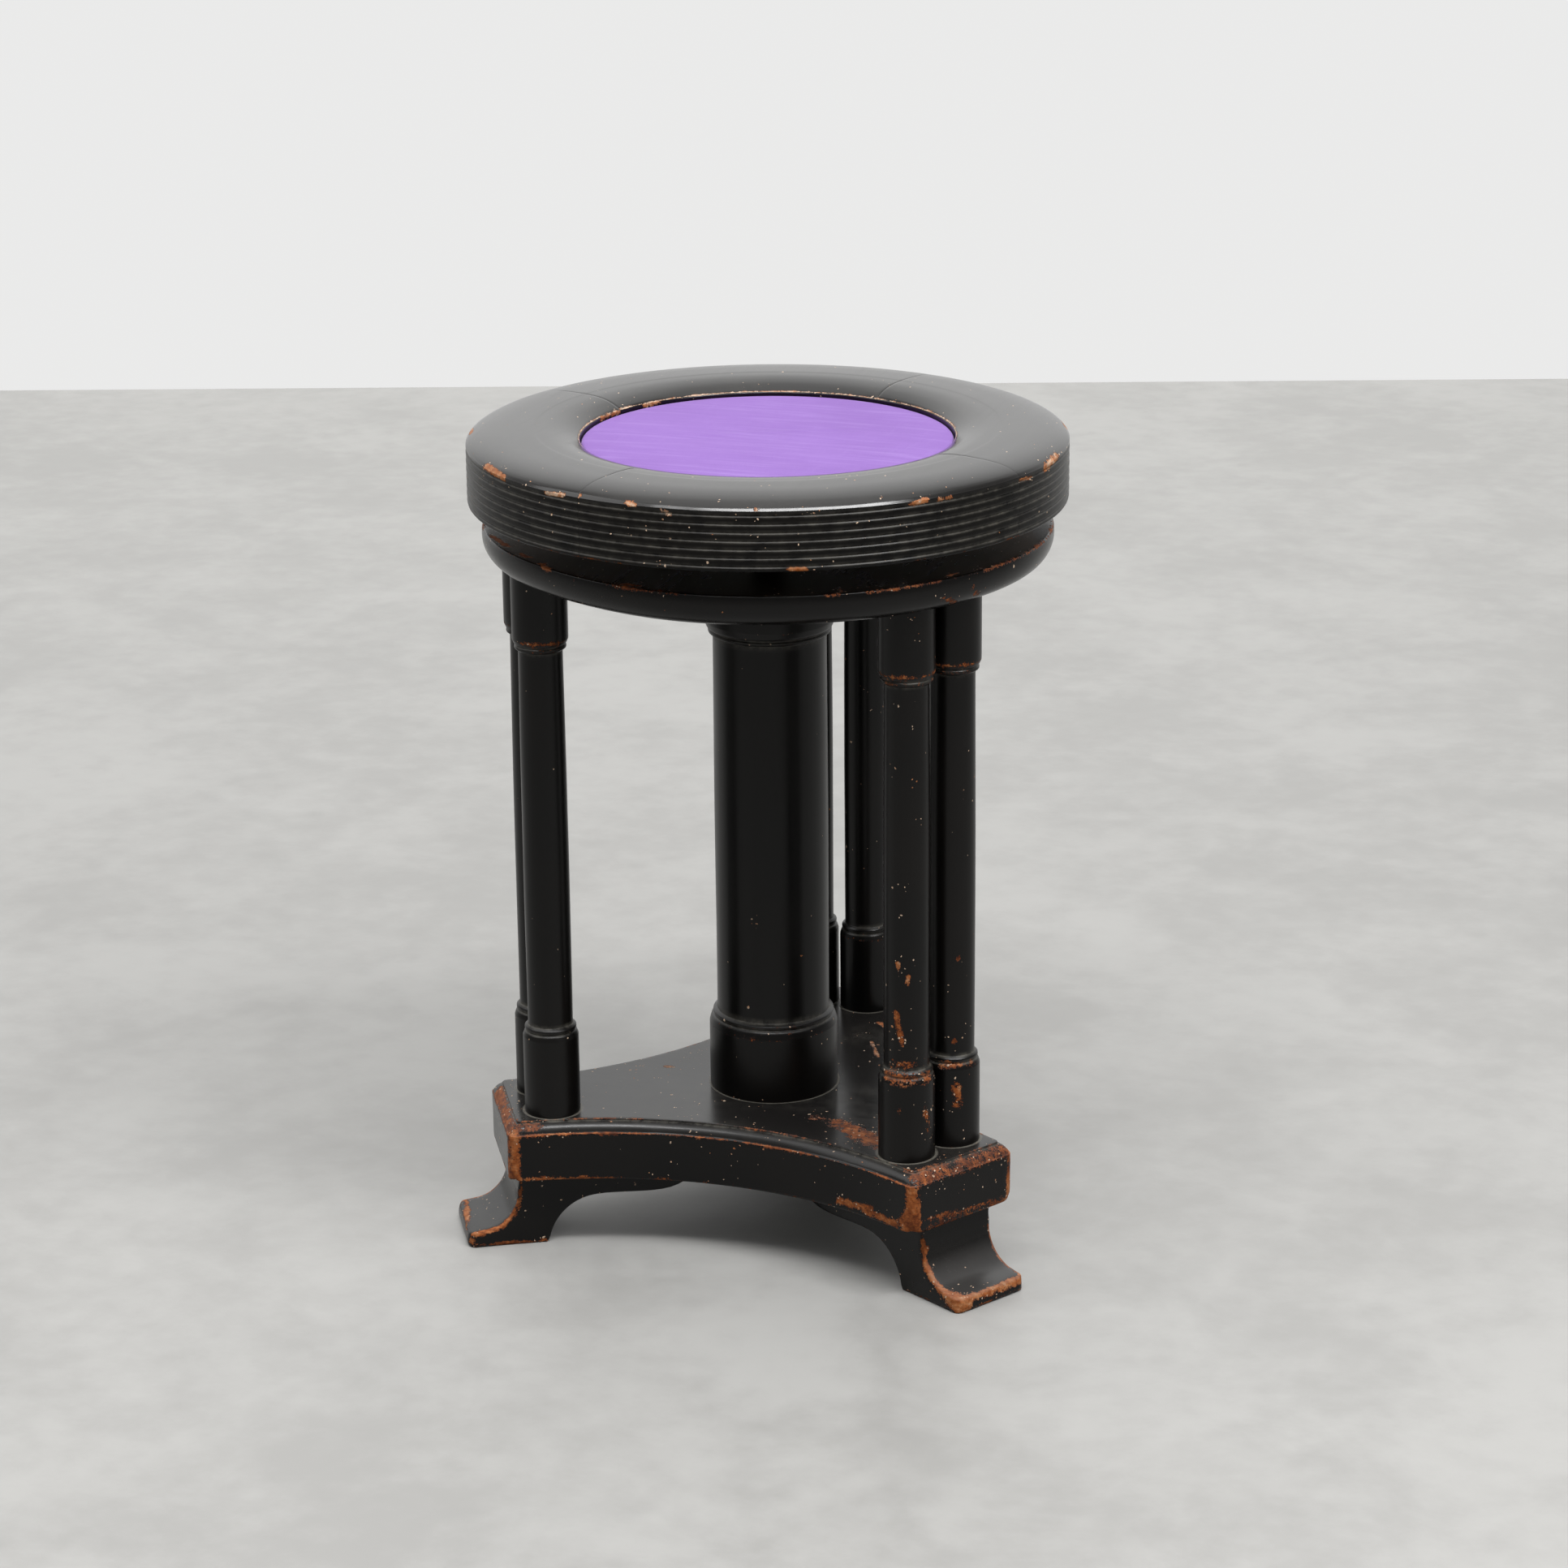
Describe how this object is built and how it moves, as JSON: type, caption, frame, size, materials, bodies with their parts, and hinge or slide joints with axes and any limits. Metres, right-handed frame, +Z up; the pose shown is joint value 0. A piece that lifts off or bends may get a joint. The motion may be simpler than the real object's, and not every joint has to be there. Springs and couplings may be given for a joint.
{
  "type": "adjustable piano stool",
  "caption": "Round revolving stool seat with reeded rim and inset cloth panel on an iron screw, over a fixed disc, a thick hollow column, paired thin columns and a three-cornered footed plinth.",
  "frame": {"origin": "on the screw's axis at floor level, in the plane of the three feet's undersides", "axes": "+Z up along the screw, +Y towards the back foot; the other feet point to 210 and 330 degrees about +Z from +X"},
  "size_m": [0.3718, 0.3785, 0.5056],
  "materials": {
    "ebonised_wood": "black lacquered wood, worn to orange-brown on edges",
    "raw_wood": "unfinished beech and plywood",
    "iron": "dark oiled iron",
    "steel_screws": "aged steel",
    "purple_cloth": "plain woven cloth",
    "felt": "wool felt"
  },
  "bodies": {
    "base": {"foot_back": "ebonised_wood", "foot_left": "ebonised_wood", "foot_right": "ebonised_wood", "foot_screws": "steel_screws", "plinth": "ebonised_wood", "central_column": "ebonised_wood", "column_back_left": "ebonised_wood", "column_back_right": "ebonised_wood", "column_left_back": "ebonised_wood", "column_left_front": "ebonised_wood", "column_right_front": "ebonised_wood", "column_right_back": "ebonised_wood", "top_disc": "ebonised_wood", "thread_nut": "iron", "nut_screws": "steel_screws"},
    "screw_stop": {"stop_washer": "iron"},
    "seat": {"spindle": "iron", "stop_pin": "steel_screws", "seat_flange": "iron", "flange_pin": "steel_screws", "flange_screws": "steel_screws", "seat_base_board": "raw_wood", "ring_segment_1": "ebonised_wood", "ring_segment_2": "ebonised_wood", "ring_segment_3": "ebonised_wood", "ring_segment_4": "ebonised_wood", "segment_dowels": "raw_wood", "ring_screws": "steel_screws", "panel_board": "raw_wood", "panel_pad": "felt", "panel_cover": "purple_cloth", "cover_tacks": "iron", "panel_screws": "steel_screws"}
  },
  "joints": [
    {"name": "seat_rise", "type": "slide", "parent": "base", "child": "screw_stop", "axis": [0, 0, 1], "range_m": [-0.0151, 0.0901]},
    {"name": "seat_turn", "type": "hinge", "parent": "screw_stop", "child": "seat", "pos_m": [0, 0, 0.45], "axis": [0, 0, 1], "range_deg": [-900, 5400]}
  ],
  "couplings": [
    {"joint": "seat_rise", "follows": "seat_turn", "m_per_rad": 0.00095493}
  ]
}
